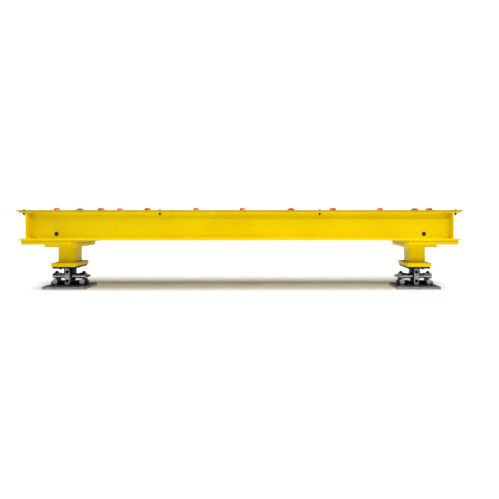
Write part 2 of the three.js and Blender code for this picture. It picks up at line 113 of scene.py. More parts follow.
def pick(piece, faces=None, edges=None):
    """In edit mode, selects the faces or edges that a test says yes to."""
    bpy.ops.mesh.select_all(action="DESELECT")
    bpy.ops.mesh.select_mode(type="FACE" if faces else "EDGE")
    shape = bmesh.from_edit_mesh(piece.data)
    for element in shape.faces if faces else shape.edges:
        element.select_set(bool((faces or edges)(element)))
    bmesh.update_edit_mesh(piece.data)


def settle(piece, place=None):
    """Puts a piece at a place matrix and writes the place into its mesh."""
    only(piece)
    if place is not None:
        piece.matrix_world = place @ piece.matrix_world
    bpy.ops.object.transform_apply(location=True, rotation=True, scale=True)
    return piece


def modify(piece, kind, **settings):
    """Adds a modifier with its settings and applies it."""
    only(piece)
    modifier = piece.modifiers.new(kind.lower(), kind)
    for name, value in settings.items():
        setattr(modifier, name, value)
    bpy.ops.object.modifier_apply(modifier=modifier.name)


def round_edges(piece, radius, segments=2, angle=35):
    """Rounds every edge sharper than an angle, and shades the flats flat."""
    width = radius * MM
    modify(
        piece, "BEVEL", width=width, segments=segments, limit_method="ANGLE", angle_limit=math.radians(angle)
    )
    only(piece)
    bpy.ops.object.shade_smooth_by_angle(angle=math.radians(32))


def at(x, y, z, turn=0, axis="z"):
    """A place in metres: a point, a turn about Z in degrees, and the way that the piece's own Z axis points."""
    lay = {"z": Matrix(), "x": Matrix.Rotation(math.pi / 2, 4, "Y"), "y": Matrix.Rotation(-math.pi / 2, 4, "X")}
    return Matrix.Translation((x, y, z)) @ Matrix.Rotation(math.radians(turn), 4, "Z") @ lay[axis]


# %% [markdown]
# A **copy of a CAD node** keeps exact sizes. The node is loose flat triangles, so the copy is merged and its flat
# faces are joined first. Then its edges take a small radius, because no real plate has a razor edge, and that
# radius is what catches the light. The copy then stands for the node.
#
# A **turned piece** is what a lathe makes: a profile of radius against length, spun about an axis. The profile is
# drawn by extruding one vertex from point to point, and spun with the spin operator. After a spin the doubled seam
# is merged, and the normals are made to face outwards.

# %% Copies, turned pieces and repeats
def dress(piece, name, body, finish):
    """Names a piece, gives it its material and lets it ride on its body."""
    piece.name = name
    piece.data.name = name
    piece.data.materials.clear()
    piece.data.materials.append(finish)
    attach(piece, body)
    return piece


def rounded_copy(node, radius, finish, body="platform", segments=2):
    """A merged copy of a CAD node with rounded edges, standing for it."""
    source = frame["nodes"][node]
    piece = bpy.data.objects.new(node + "_finished", source.data.copy())
    bpy.context.collection.objects.link(piece)
    edit(piece)
    bpy.ops.mesh.remove_doubles(threshold=0.00002)
    bpy.ops.mesh.dissolve_limited(angle_limit=math.radians(0.5))
    close()
    round_edges(piece, radius, segments)
    dress(piece, node + "_finished", body, finish)
    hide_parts(node)
    return piece


def turned(name, profile, steps=48):
    """Spins a profile of (radius, height) points in mm about Z."""
    bpy.ops.mesh.primitive_plane_add(size=1)
    piece = bpy.context.object
    piece.name = name
    edit(piece)
    bpy.ops.mesh.merge(type="CENTER")
    points = [Vector((radius * MM, 0, height * MM)) for radius, height in profile]
    bpy.ops.transform.translate(value=points[0])
    for start, end in zip(points, points[1:]):
        bpy.ops.mesh.extrude_region_move(TRANSFORM_OT_translate={"value": end - start})
    bpy.ops.mesh.select_all(action="SELECT")
    bpy.ops.mesh.spin(steps=steps, angle=2 * math.pi, center=(0, 0, 0), axis=(0, 0, 1))
    bpy.ops.mesh.select_all(action="SELECT")
    bpy.ops.mesh.remove_doubles(threshold=0.000005)
    bpy.ops.mesh.normals_make_consistent(inside=False)
    close()
    only(piece)
    bpy.ops.object.shade_smooth_by_angle(angle=math.radians(32))
    return piece


def hexagon(name, across_flats, height, base=0, chamfer=0.8):
    """A hexagonal prism in mm that stands on z = base, with chamfered corners."""
    bpy.ops.mesh.primitive_cylinder_add(
        vertices=6,
        radius=across_flats / math.sqrt(3) * MM,
        depth=height * MM,
        location=(0, 0, (base + height / 2) * MM),
    )
    piece = settle(bpy.context.object)
    piece.name = name
    round_edges(piece, chamfer, 2)
    return piece


def slab(name, low, high, radius=1.0, segments=2):
    """A block between two corners in metres, with rounded edges."""
    middle = (Vector(low) + Vector(high)) / 2
    bpy.ops.mesh.primitive_cube_add(size=1, location=middle, scale=Vector(high) - Vector(low))
    piece = settle(bpy.context.object)
    piece.name = name
    round_edges(piece, radius, segments)
    return piece


def fuse(name, pieces):
    """Joins pieces into one object."""
    only(*pieces)
    if len(pieces) > 1:
        bpy.ops.object.join()
    bpy.context.object.name = name
    return bpy.context.object


def repeat(master, name, place, body, finish):
    """A copy of a master piece, with its own mesh, at a place."""
    piece = bpy.data.objects.new(name, master.data.copy())
    bpy.context.collection.objects.link(piece)
    settle(piece, place)
    return dress(piece, name, body, finish)


def discard(*masters):
    """Removes master pieces once their copies are made."""
    for master in masters:
        bpy.data.objects.remove(master)


# %% [markdown]
# ## Materials
#
# Each material is named for what the real surface is and how it was made. Colours are written as sRGB hex values,
# and one function turns them into the linear numbers that the shader wants. One function adds a node with its
# settings and links. Pattern scales are worked out from real sizes: a noise of scale 1 repeats about once a metre,
# so a 3 mm orange peel needs a scale of 1000 / 3.


def linear(hex_colour):
    """An sRGB hex colour as linear RGBA."""
    channels = [int(hex_colour[i : i + 2], 16) / 255 for i in (1, 3, 5)]
    return [c / 12.92 if c <= 0.04045 else ((c + 0.055) / 1.055) ** 2.4 for c in channels] + [1]


def per_mm(size):
    """The pattern scale, in repeats a metre, of a feature of this many millimetres."""
    return 1000 / size


def add(material, kind, links=None, **settings):
    """Adds a node. links maps an input to the output that feeds it, and settings set inputs or properties."""
    node = material.node_tree.nodes.new(kind)
    for name, value in settings.items():
        label = name.replace("_", " ").title() if not hasattr(node, name) else name
        if hasattr(node, name):
            setattr(node, name, value)
        else:
            node.inputs[label].default_value = value
    for name, output in (links or {}).items():
        material.node_tree.links.new(output, node.inputs[name])
    return node


def new_material(name, slot, **settings):
    """A material with a principled shader. Its settings go straight on the shader's own sockets."""
    material = bpy.data.materials.new(name)
    material.use_nodes = True
    shader = material.node_tree.nodes["Principled BSDF"]
    for key, value in settings.items():
        shader.inputs[key.replace("_", " ").title().replace("Ior", "IOR")].default_value = value
    return material


def place_of(material, stretch=(1, 1, 1)):
    """Object coordinates, stretched along an axis where a pattern has a grain."""
    coordinates = add(material, "ShaderNodeTexCoord")
    return add(material, "ShaderNodeMapping", {"Vector": coordinates.outputs["Object"]}, Scale=stretch).outputs[0]


def noise(material, vector, size, detail=3, rough=0.5):
    """Noise with features of a size in millimetres."""
    node = add(material, "ShaderNodeTexNoise", {"Vector": vector}, Scale=per_mm(size), Detail=detail)
    node.inputs["Roughness"].default_value = rough
    return node.outputs["Fac"]


def ramp(material, value, stops, smooth=True):
    """A colour ramp. stops are (position, sRGB hex or a grey number)."""
    node = add(material, "ShaderNodeValToRGB", {"Fac": value})
    node.color_ramp.interpolation = "EASE" if smooth else "LINEAR"
    while len(node.color_ramp.elements) < len(stops):
        node.color_ramp.elements.new(0.5)
    for element, (position, colour) in zip(node.color_ramp.elements, stops):
        element.position = position
        element.color = linear(colour) if isinstance(colour, str) else (colour, colour, colour, 1)
    return node.outputs["Color"]


def blend(material, share, first, second, how="MIX"):
    """Mixes two colours by a share."""
    node = add(material, "ShaderNodeMix", data_type="RGBA", blend_type=how)
    for socket, value in ((0, share), (6, first), (7, second)):
        if hasattr(value, "is_output"):
            material.node_tree.links.new(value, node.inputs[socket])
        elif isinstance(value, str):
            node.inputs[socket].default_value = linear(value)
        else:
            node.inputs[socket].default_value = value
    return node.outputs[2]


def wire(material, **sockets):
    """Links outputs to the principled shader's inputs."""
    shader = material.node_tree.nodes["Principled BSDF"]
    for key, output in sockets.items():
        material.node_tree.links.new(output, shader.inputs[key.replace("_", " ").title()])


def bump(material, heights):
    """Stacks bumps. heights are (output, depth in mm)."""
    normal = None
    for output, depth in heights:
        links = {"Height": output}
        if normal is not None:
            links["Normal"] = normal
        normal = add(material, "ShaderNodeBump", links, Distance=depth * MM).outputs["Normal"]
    wire(material, normal=normal)


# %% [markdown]
# **Signal-yellow enamel** is a two-part gloss paint, sprayed over blasted steel. Three things make it read as
# sprayed paint and not as plastic: a fine orange peel a few millimetres across, a slow drift in tone where the
# coats are thicker, and a film of shop dust that dulls it in patches. The specular level is low and tinted by the
# pigment, with only a trace of coat, so that faces turned to the pale floor stay yellow.

# %% Yellow enamel
def yellow_enamel(name, thin="#DCBC00", thick="#E3C700", peel_mm=2.6, peel_depth=0.035):
    paint = new_material(
        name,
        "yellow_paint",
        specular_tint=(1, 0.8, 0.04, 1),
        specular_ior_level=0.14,
        coat_weight=0.01,
        coat_roughness=0.1,
    )
    where = place_of(paint)
    coats = ramp(paint, noise(paint, where, 420, 4), [(0.32, thin), (0.68, thick)])
    dust = ramp(paint, noise(paint, where, 90, 6, 0.65), [(0.5, 0.0), (0.78, 0.2)])
    colour = blend(paint, dust, coats, "#CDA80C")
    dulling = ramp(paint, noise(paint, where, 55, 5, 0.6), [(0.35, 0.24), (0.72, 0.4)])
    wire(paint, base_color=colour, roughness=dulling)
    bump(paint, [(noise(paint, where, peel_mm, 2), peel_depth), (noise(paint, where, 60, 2), 0.25)])
    return paint


enamel = yellow_enamel("sprayed_yellow_enamel")
# Paint over a weld shows the bead's own ripples, so its peel is coarser.
weld_enamel = yellow_enamel("yellow_enamel_over_weld", peel_mm=1.6, peel_depth=0.12)
# The deck's paint is darker and duller. This is partly wear from feet and sliding pallets, and partly painted shade
# for the dark line along the deck's front edge.
worn_and_shaded_deck_enamel = yellow_enamel("worn_yellow_deck_enamel", "#A8920A", "#B89E0C", 3.4, 0.05)
print("enamel:", enamel.name, weld_enamel.name, worn_and_shaded_deck_enamel.name)

# %% [markdown]
# **Cast polyurethane** makes the orange-red tyres. It is a soft, slightly waxy elastomer: a satin surface, a little
# light scattered below it, faint rings from its mould, and grey dust where it has rolled.

# %% Polyurethane and the wheel's core
def polyurethane():
    tyre = new_material(
        "cast_orange_polyurethane",
        "orange_tread",
        subsurface_weight=0.12,
        subsurface_scale=0.004,
        subsurface_radius=(1.0, 0.35, 0.12),
        specular_ior_level=0.45,
    )
    where = place_of(tyre)
    body = ramp(tyre, noise(tyre, where, 26, 4), [(0.3, "#B0481C"), (0.7, "#C05A2A")])
    grime = ramp(tyre, noise(tyre, where, 7, 6, 0.7), [(0.52, 0.0), (0.8, 0.35)])
    wire(tyre, base_color=blend(tyre, grime, body, "#8A5A48"))
    wire(tyre, roughness=ramp(tyre, noise(tyre, where, 12, 4), [(0.3, 0.34), (0.7, 0.55)]))
    bump(tyre, [(noise(tyre, where, 1.4, 3), 0.06)])
    return tyre


def nylon_core():
    core = new_material("moulded_grey_nylon", "orange_tread", roughness=0.5, subsurface_weight=0.05)
    where = place_of(core)
    wire(core, base_color=ramp(core, noise(core, where, 18, 4), [(0.3, "#8F9294"), (0.7, "#A3A6A8")]))
    bump(core, [(noise(core, where, 0.8, 2), 0.03)])
    return core


tyre_rubber = polyurethane()
wheel_core = nylon_core()

# %% [markdown]
# **Steels.** All of them are metals, so they keep the default IOR, and colour, roughness and grain tell them apart:
# bright zinc plate has a cool cast with soft clouds of blue and straw, the ground load cell carries fine rings from
# the grinding wheel, the base plates keep the mottled grey of rolled mild steel, and black oxide is nearly black
# with a faint sheen of oil.

# %% Steels
def steel(
    name, slot, dark, light, cloud_mm, rough, grain=(1, 1, 1), grain_mm=0.8, depth=0.02, tint=None, oxide=None
):
    """A steel with clouds of tone and a grain. Its last argument blackens all that lies above this many mm, partly as
    black oxide and partly as painted shade.
    """
    metal = new_material(name, slot, metallic=1.0)
    where = place_of(metal)
    colour = ramp(metal, noise(metal, where, cloud_mm, 5, 0.6), [(0.3, dark), (0.7, light)])
    if tint:
        patches = ramp(metal, noise(metal, where, cloud_mm * 1.7, 3), [(0.45, 0.0), (0.7, 0.35)])
        colour = blend(metal, patches, colour, tint)
    # Painted shade, partly black oxide: all above the given height (the pin blocks on the base plate) is made nearly
    # black for the dark gaps round the cell's pins.
    if oxide:
        axes = add(metal, "ShaderNodeSeparateXYZ", {"Vector": where})
        above = add(metal, "ShaderNodeMath", {0: axes.outputs["Z"]}, operation="GREATER_THAN")
        above.inputs[1].default_value = oxide * MM
        colour = blend(metal, above.outputs[0], colour, "#0C0B0C")
    low, high = rough
    wire(metal, base_color=colour)
    wire(metal, roughness=ramp(metal, noise(metal, where, cloud_mm * 0.4, 5), [(0.3, low), (0.75, high)]))
    lay = place_of(metal, grain)
    bump(metal, [(noise(metal, lay, grain_mm, 4, 0.7), depth)])
    return metal


zinc = steel("bright_zinc_plate", "zinc_steel", "#7E7E8A", "#9A9AA6", 14, (0.26, 0.46), tint="#9C958C")
ground = steel(
    "ring_ground_steel", "bright_steel", "#8A8892", "#BEBCC6", 30, (0.16, 0.32), (6, 0.25, 0.25), 2.4, 0.03
)
# The pin blocks above 20.6 mm are nearly black: painted shade for the gaps round the pins, partly black oxide.
rolled = steel(
    "rolled_mild_steel", "grey_plate", "#8A8890", "#B2B0B8", 22, (0.3, 0.6), grain_mm=1.2, depth=0.06, oxide=20.6
)
blackened = steel("black_oxide_steel", "black_steel", "#0B0A0A", "#191717", 9, (0.32, 0.55), grain_mm=0.7)
nickel = steel("nickel_plated_brass", "nickel_gland", "#77756F", "#8F8D84", 12, (0.2, 0.36))


def seal_rubber():
    rubber = new_material("black_seal_rubber", "nickel_gland", roughness=0.6, specular_ior_level=0.4)
    where = place_of(rubber)
    wire(rubber, base_color=ramp(rubber, noise(rubber, where, 5, 4), [(0.3, "#121212"), (0.7, "#222120")]))
    bump(rubber, [(noise(rubber, where, 0.7, 2), 0.03)])
    return rubber


seal = seal_rubber()

# %% [markdown]
# ## The rolled beams
#
# The front and rear beams butt against the end beams and are welded to them. A rolled flange has square edges with
# a radius of about a millimetre, and the paint draws back over them. The CAD shape is right, fillets and cable
# holes included, so each beam is a rounded copy of its node.

# %% Beams
BEAMS = ["front_beam", "rear_beam", "left_end_beam", "right_end_beam"]
for node in BEAMS:
    rounded_copy(node, 1.2, enamel)
print("beams:", BEAMS)

# %% [markdown]
# ## The deck plate
#
# The deck is one 8 mm plate with a hole round each castor. The CAD holes have flat sides, and these have to be
# truly round. A slab is added at the deck's size. A drum is made for each castor and cut out of it with a boolean,
# and the rims are then rounded as a flame cutter's grinder leaves them. A hole's centre is its castor's swivel
# axis, and its radius comes from the wheel's sweep, as in the CAD.

# %% Deck with its castor holes
swivels = {j["child"]: Vector(j["pos_m"]) for j in frame["joints"] if j["name"].startswith("swivel")}
axles = {j["child"]: (Vector(j["pos_m"]), Vector(j["axis"])) for j in frame["joints"] if j["name"].startswith("roll")}
castors = sorted(name.replace("fork_", "") for name in swivels)
deck_low, deck_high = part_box("deck_plate")
wheel_low, wheel_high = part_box("wheel_front_6")
WHEEL_RADIUS = (wheel_high.z - wheel_low.z) / 2 / MM
TRAIL = (axles["wheel_front_1"][0] - swivels["fork_front_1"]).length / MM
TREAD_WIDTH = 30
SWEEP_CLEARANCE = 2.4
axle_height = axles["wheel_front_1"][0].z
above_axle = (deck_low.z - axle_height) / MM
wheel_sweep = math.hypot(TRAIL + math.sqrt(WHEEL_RADIUS**2 - above_axle**2), TREAD_WIDTH / 2)
HOLE_RADIUS = wheel_sweep + SWEEP_CLEARANCE
deck = slab("deck", deck_low, deck_high, 0.01, 1)
for name in castors:
    pivot = swivels["fork_" + name]
    bpy.ops.mesh.primitive_cylinder_add(
        vertices=80, radius=HOLE_RADIUS * MM, depth=0.1, location=(pivot.x, pivot.y, deck_low.z)
    )
    drum = bpy.context.object
    modify(deck, "BOOLEAN", object=drum, operation="DIFFERENCE", solver="EXACT")
    discard(drum)
round_edges(deck, 0.9, 2)
# The deck's darker enamel is partly painted shade along its front edge.
dress(deck, "deck_plate_finished", "platform", worn_and_shaded_deck_enamel)
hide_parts("deck_plate")
print(f"deck holes: {len(castors)} of radius {HOLE_RADIUS:.1f} mm")

# %% [markdown]
# ## Castor rails and bearer
#
# Under the deck two steel channels, open below, carry the castors, and a box section crosses under their middle. A
# channel is folded from one plate, so it starts as a block without its underside and ends. Solidify then gives the
# three walls that are left their thickness, inwards, and the edges are rounded.

# %% Channels, bearer
RAIL_WIDTH = 76 * MM
RAIL_HEIGHT = 50 * MM
RAIL_WALL = 5 * MM
CASTOR_PLATE = 84
PLATE_THICKNESS = 6
HEAD_HEIGHT = 10
RAIL_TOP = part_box("front_castor_rail")[1].z - (PLATE_THICKNESS + HEAD_HEIGHT) * MM
for node in ("front_castor_rail", "rear_castor_rail"):
    low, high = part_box(node)
    middle = Vector(((low.x + high.x) / 2, (low.y + high.y) / 2, RAIL_TOP - RAIL_HEIGHT / 2))
    bpy.ops.mesh.primitive_cube_add(size=1, location=middle, scale=(high.x - low.x, RAIL_WIDTH, RAIL_HEIGHT))
    rail = settle(bpy.context.object)
    edit(rail)
    pick(rail, faces=lambda f: f.normal.z < -0.9 or abs(f.normal.x) > 0.9)
    bpy.ops.mesh.delete(type="FACE")
    close()
    modify(rail, "SOLIDIFY", thickness=RAIL_WALL, offset=-1, use_even_offset=True)
    round_edges(rail, 1.2, 2)
    dress(rail, node + "_channel", "platform", enamel)
    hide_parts(node)
rounded_copy("mid_bearer", 0.8, enamel, segments=1)
print("rails end at", round(high.x / MM), "mm, tops at", round(RAIL_TOP / MM, 1), "mm")

# %% [markdown]
# ## Castors
#
# A castor is a wheel in a fork, and the fork turns on a ball race round a kingpin. The tyre is cast round a grey
# nylon core. The tyre's tread is slightly crowned, and the core has a recessed web and a proud hub with a bearing.
# Both are turned profiles. They are modelled once about their axle and copied to each castor.

# %% Tyre and core
HALF = TREAD_WIDTH / 2
CORE_RADIUS = 27
tyre_profile = [
    (CORE_RADIUS, -HALF + 0.6),
    (CORE_RADIUS + 1.2, -HALF),
    (WHEEL_RADIUS - 4.2, -HALF),
    (WHEEL_RADIUS - 2.2, -HALF + 0.7),
    (WHEEL_RADIUS - 0.9, -HALF + 2.4),
    (WHEEL_RADIUS - 0.35, -HALF + 5.5),
    (WHEEL_RADIUS - 0.05, -HALF + 10),
    (WHEEL_RADIUS, 0),
]
tyre_profile += [(radius, -height) for radius, height in reversed(tyre_profile[:-1])] + [tyre_profile[0]]
tyre_master = turned("tyre", tyre_profile, 72)
HUB = 12
BORE = 8
core_profile = [
    (BORE, -HALF),
    (HUB, -HALF),
    (HUB + 1.5, -HALF + 5),
    (CORE_RADIUS - 5, -HALF + 6),
    (CORE_RADIUS - 3.2, -HALF + 0.9),
    (CORE_RADIUS - 0.1, -HALF + 0.6),
]
core_profile += [(radius, -height) for radius, height in reversed(core_profile)] + [core_profile[0]]
core_master = turned("core", core_profile, 56)
bearing_profile = [(6.3, -HALF + 0.2), (BORE - 0.1, -HALF + 0.2), (BORE - 0.1, HALF - 0.2), (6.3, HALF - 0.2)]
bearing_master = turned("bearing", bearing_profile + [bearing_profile[0]], 40)
print("tyre faces:", len(tyre_master.data.polygons), "core faces:", len(core_master.data.polygons))

# %% [markdown]
# The axle is a bolt with a thin head on one side and a lock nut on the other. Both stand just proud of the fork's
# legs. The kingpin is riveted over in the middle of the fork's crown, and below the crown the swivel head has a
# groove where the ball race is closed.

# %% Axle bolt and kingpin
LEG_CLEARANCE = 1.5
LEG_THICKNESS = 3.5
AXLE_HEAD = 3
CROWN_THICKNESS = 6
LEG_OUTSIDE = HALF + LEG_CLEARANCE + LEG_THICKNESS
AXLE_END = LEG_OUTSIDE + AXLE_HEAD
crown_top = (axle_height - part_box("fork_front_6")[0].z) / MM - CROWN_THICKNESS
shank_profile = [(0, -AXLE_END), (5.2, -AXLE_END), (5.95, -AXLE_END + 0.8), (5.95, AXLE_END), (0, AXLE_END)]
collar_profile = [(0, LEG_OUTSIDE + 2.9), (7.2, LEG_OUTSIDE + 2.9), (6.4, AXLE_END), (0, AXLE_END)]
bolt_head_profile = [(0, -LEG_OUTSIDE - 0.1), (9, -LEG_OUTSIDE - 0.1), (9, -LEG_OUTSIDE - 1.6)]
bolt_head_profile += [(7.6, -AXLE_END), (0, -AXLE_END)]
axle_master = fuse(
    "axle",
    [
        turned("shank", shank_profile, 32),
        hexagon("lock_nut", 17, 3.0, LEG_OUTSIDE + 0.1, 0.6),
        turned("nut_collar", collar_profile, 32),
        turned("head", bolt_head_profile, 40),
    ],
)
crown_profile = [(0, -6.05), (27.2, -6.05), (28.2, -5), (28.2, -1.4), (27, 0.1), (15, 0.35), (12, 0.6)]
crown_profile += [(9.2, 0.8), (8.8, 2.2), (6.4, 3.6), (3, 4.2), (0, 4.3)]
kingpin_master = turned("kingpin", crown_profile, 48)
head_profile = [(0, 0), (29, 0), (28.8, 1.4), (27.2, 3.2), (26.9, 4.2), (25.6, 4.4), (25.4, 5.4), (26.2, 5.8)]
head_profile += [(24.6, 7.8), (22.2, 9.6), (0, 9.7)]
race_master = turned("race", head_profile, 56)

# %% Copy the castors to their places
for name in castors:
    pivot = swivels["fork_" + name]
    axle, axis = axles["wheel_" + name]
    turn = math.degrees(math.atan2(axis.y, axis.x)) - 90
    across = at(axle.x, axle.y, axle.z, turn, "y")
    wheel = "wheel_" + name
    rounded_copy("fork_" + name, 0.7, zinc, "fork_" + name, 1)
    tyre = repeat(tyre_master, "tyre_" + name, across, wheel, tyre_rubber)
    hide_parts(wheel)
    repeat(core_master, "wheel_core_" + name, across, wheel, wheel_core)
    repeat(bearing_master, "wheel_bearing_" + name, across, wheel, zinc)
    repeat(axle_master, "axle_bolt_" + name, across, "fork_" + name, zinc)
    crown = at(pivot.x, pivot.y, axle.z - crown_top * MM)
    repeat(kingpin_master, "kingpin_" + name, crown, "fork_" + name, zinc)
    seat = at(pivot.x, pivot.y, RAIL_TOP + PLATE_THICKNESS * MM)
    repeat(race_master, "swivel_head_" + name, seat, "platform", zinc)
discard(tyre_master, core_master, bearing_master, axle_master, kingpin_master, race_master)
print(len(castors), "castors")

# %% [markdown]
# Under each swivel head a square plate with round corners lies on the rail. Four button-head screws go through both,
# with their nuts inside the channel. The plate is a cube whose upright edges are bevelled widely.

# %% Castor plates and their screws
plate_size = (CASTOR_PLATE * MM, CASTOR_PLATE * MM, (PLATE_THICKNESS - 0.3) * MM)
bpy.ops.mesh.primitive_cube_add(size=1, scale=plate_size)
plate_master = settle(bpy.context.object)
edit(plate_master)
pick(plate_master, edges=lambda e: abs(e.verts[0].co.z - e.verts[1].co.z) > 1 * MM)
bpy.ops.mesh.bevel(offset=9 * MM, segments=6, affect="EDGES")
close()
round_edges(plate_master, 0.6, 1)
button = [(0, 0), (6.5, 0), (6.3, 1.6), (5, 3.2), (3, 3.9), (2.6, 2.2), (0, 2.2)]
NUT_FACE = -(PLATE_THICKNESS + RAIL_WALL / MM)
plate_screw = fuse(
    "plate_screw", [turned("button", button, 24), hexagon("nut", 13, 6.5, NUT_FACE - 6.6, 0.7)]
)
SCREW_X = 32 * MM
SCREW_Y = 24 * MM
for name in castors:
    pivot = swivels["fork_" + name]
    seat = at(pivot.x, pivot.y, RAIL_TOP + (PLATE_THICKNESS / 2 + 0.1) * MM)
    repeat(plate_master, "castor_plate_" + name, seat, "platform", zinc)
    screws = []
    for dx in (-SCREW_X, SCREW_X):
        for dy in (-SCREW_Y, SCREW_Y):
            copy = bpy.data.objects.new("screw", plate_screw.data.copy())
            bpy.context.collection.objects.link(copy)
            screws.append(settle(copy, at(pivot.x + dx, pivot.y + dy, RAIL_TOP + PLATE_THICKNESS * MM)))
    dress(fuse("plate_screws", screws), "castor_plate_screws_" + name, "platform", zinc)
discard(plate_master, plate_screw)

# %% [markdown]
# ## Deck screws
#
# The deck is screwed to the beams' top flanges near their outer edges. Each fastener is a low domed screw on the
# deck, and a nut with a few turns of thread below the flange. The thread is a turned zigzag, which at this size
# reads as a thread.

# %% Deck screws and nuts
FLANGE_THICKNESS = 12
GRIP = (deck_high.z - deck_low.z) / MM + FLANGE_THICKNESS
THREAD_LENGTH = 20.2
thread = [(0, 0)]
PITCH = 1.5
for turn_count in range(13):
    thread += [(4.1, turn_count * PITCH), (4.9, (turn_count + 0.5) * PITCH)]
thread += [(3.6, THREAD_LENGTH), (0, THREAD_LENGTH)]
screw_dome = [(0, -1), (9.5, -1), (9.5, 0.6), (8.2, 3), (5, 4.6), (3.1, 4.9), (2.9, 3), (0, 3)]
screw_head = turned("screw_head", screw_dome, 40)
thread_end = settle(turned("thread", thread, 24), Matrix.Translation((0, 0, -(GRIP + THREAD_LENGTH) * MM)))
nut = hexagon("nut", 17, 8, -GRIP - 9.9, 0.9)
washer = [(5.2, -GRIP - 0.35), (10.5, -GRIP - 0.35), (10.5, -GRIP - 1.9), (5.2, -GRIP - 1.9), (5.2, -GRIP - 0.35)]
washer = turned("washer", washer, 36)
deck_screw = fuse("deck_screw", [screw_head])
deck_nut = fuse("deck_nut", [nut, washer, thread_end])
EDGE_INSET = 21 * MM
screw_columns = [-1627, -603, 603, 1627]
for row, y in (("front", deck_low.y + EDGE_INSET), ("rear", deck_high.y - EDGE_INSET)):
    for number, x in enumerate(screw_columns, 1):
        spot = at(x * MM, y, deck_high.z, 17 * number)
        repeat(deck_screw, f"deck_screw_{row}_{number}", spot, "platform", blackened)
        repeat(deck_nut, f"deck_nut_{row}_{number}", spot, "platform", blackened)
discard(deck_screw, deck_nut)
print("deck screws:", 2 * len(screw_columns))

# %% [markdown]
# ## Cable grommets
#
# The load cells' cables enter the frame through four holes in the long beams' webs. A rubber grommet lines each
# hole, so that the plate's edge doesn't cut the cable. It is a ring with a groove that grips the web. Its black ring,
# which closes most of the hole, is also painted shade for the dark inside of the hole.

# %% Grommets
WEB = 6
CABLE_HOLE_RADIUS = 13.2
CABLE_HOLE_UP = 47 * MM
lip = [(6, -5.6), (14.4, -5.6), (15.6, -4.6), (15.6, -3.1), (CABLE_HOLE_RADIUS, -3.05)]
ring = lip + [(radius, -along) for radius, along in reversed(lip)]
# The grommet's black, narrow-bored ring is also painted shade for the hole's dark inside.
grommet = turned("grommet", ring + [ring[0]], 48)
foot_x = (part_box("right_load_cell")[0].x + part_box("right_load_cell")[1].x) / 2
for row in ("front", "rear"):
    low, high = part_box(row + "_beam")
    for side, x in (("left", -foot_x), ("right", foot_x)):
        spot = at(x, (low.y + high.y) / 2, low.z + CABLE_HOLE_UP, 0, "y")
        repeat(grommet, f"{row}_{side}_grommet", spot, "platform", seal)
discard(grommet)

# %% [markdown]
# ## Feet
#
# Under each end a stack of thick plates carries the load down to the pillar. The plates are flame-cut and ground,
# so their edges take a radius of a millimetre and a half. The pillar is a square hollow section with round
# corners: a cube whose upright edges are bevelled with many segments, then bored through from end to end.

# %% Plates and pillars
for side in ("left", "right"):
    for node in ("corner_plate", "pillar_top_plate", "pillar_foot_plate"):
        rounded_copy(f"{side}_{node}", 1.6, enamel, segments=3)


def square_tube(name, node, corner, wall):
    """A square hollow section in the place of a CAD node."""
    low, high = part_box(node)
    bpy.ops.mesh.primitive_cube_add(size=1, location=(low + high) / 2, scale=high - low)
    piece = settle(bpy.context.object)
    edit(piece)
    pick(piece, edges=lambda e: abs(e.verts[0].co.z - e.verts[1].co.z) > 0.01)
    bpy.ops.mesh.bevel(offset=corner * MM, segments=8, affect="EDGES")
    pick(piece, faces=lambda f: abs(f.normal.z) > 0.9)
    bpy.ops.mesh.inset(thickness=wall * MM)
    pick(piece, faces=lambda f: abs(f.normal.z) > 0.9 and len(f.verts) > 4)
    bpy.ops.mesh.bridge_edge_loops()
    bpy.ops.mesh.select_all(action="SELECT")
    bpy.ops.mesh.normals_make_consistent(inside=False)
    close()
    only(piece)
    bpy.ops.object.shade_smooth_by_angle(angle=math.radians(32))
    dress(piece, name, "platform", enamel)
    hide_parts(node)
    return piece


PILLAR_CORNER = 14
PILLAR_WALL = 8
for side in ("left", "right"):
    square_tube(side + "_pillar_tube", side + "_pillar", PILLAR_CORNER, PILLAR_WALL)

# %% [markdown]
# ## Load-cell modules
#
# The cell is a ground steel bar with two waists, where the strain gauges sit under welded sleeves. Its ends rest on
# two hardened cross pins in blocks on the base plate. The saddle presses on its middle, and two straps, bolted
# above and below the cell, keep the platform from lifting. The bar, the pins and the gland are turned.

# %% Load cells, pins and glands
cell_low, cell_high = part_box("right_load_cell")
CELL_HALF = (cell_high.x - cell_low.x) / 2 / MM
CELL_RADIUS = (cell_high.z - cell_low.z) / 2 / MM
cell_axis = (cell_high.z + cell_low.z) / 2
WAIST = 20
half_cell = [
    (0, -CELL_HALF),
    (7, -CELL_HALF),
    (7.5, -CELL_HALF + 0.2),
    (CELL_RADIUS - 2, -CELL_HALF),
    (CELL_RADIUS, -CELL_HALF + 2),
    (CELL_RADIUS, -92),
    (CELL_RADIUS - 0.6, -91.2),
    (CELL_RADIUS - 0.6, -89.2),
    (CELL_RADIUS, -88.4),
    (CELL_RADIUS, -77.5),
    (CELL_RADIUS - 1, -76.4),
    (WAIST + 0.6, -74.5),
    (WAIST, -73.2),
    (WAIST, -62),
    (WAIST + 0.5, -61.5),
    (WAIST + 0.5, -56.5),
    (WAIST, -56),
    (WAIST, -44.8),
    (WAIST + 0.6, -43.6),
    (CELL_RADIUS - 1, -42.2),
    (CELL_RADIUS, -41.2),
]
cell_profile = half_cell + [(radius, -height) for radius, height in reversed(half_cell)]
cell_master = turned("cell", cell_profile, 64)
pin_low, pin_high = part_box("right_inner_cross_pin")
PIN_RADIUS = (pin_high.z - pin_low.z) / 2 / MM
PIN_HALF = (pin_high.y - pin_low.y) / 2 / MM
pin_end = [(0, -PIN_HALF + 1.2), (3.2, -PIN_HALF + 1.2), (4.4, -PIN_HALF), (PIN_RADIUS - 1.6, -PIN_HALF)]
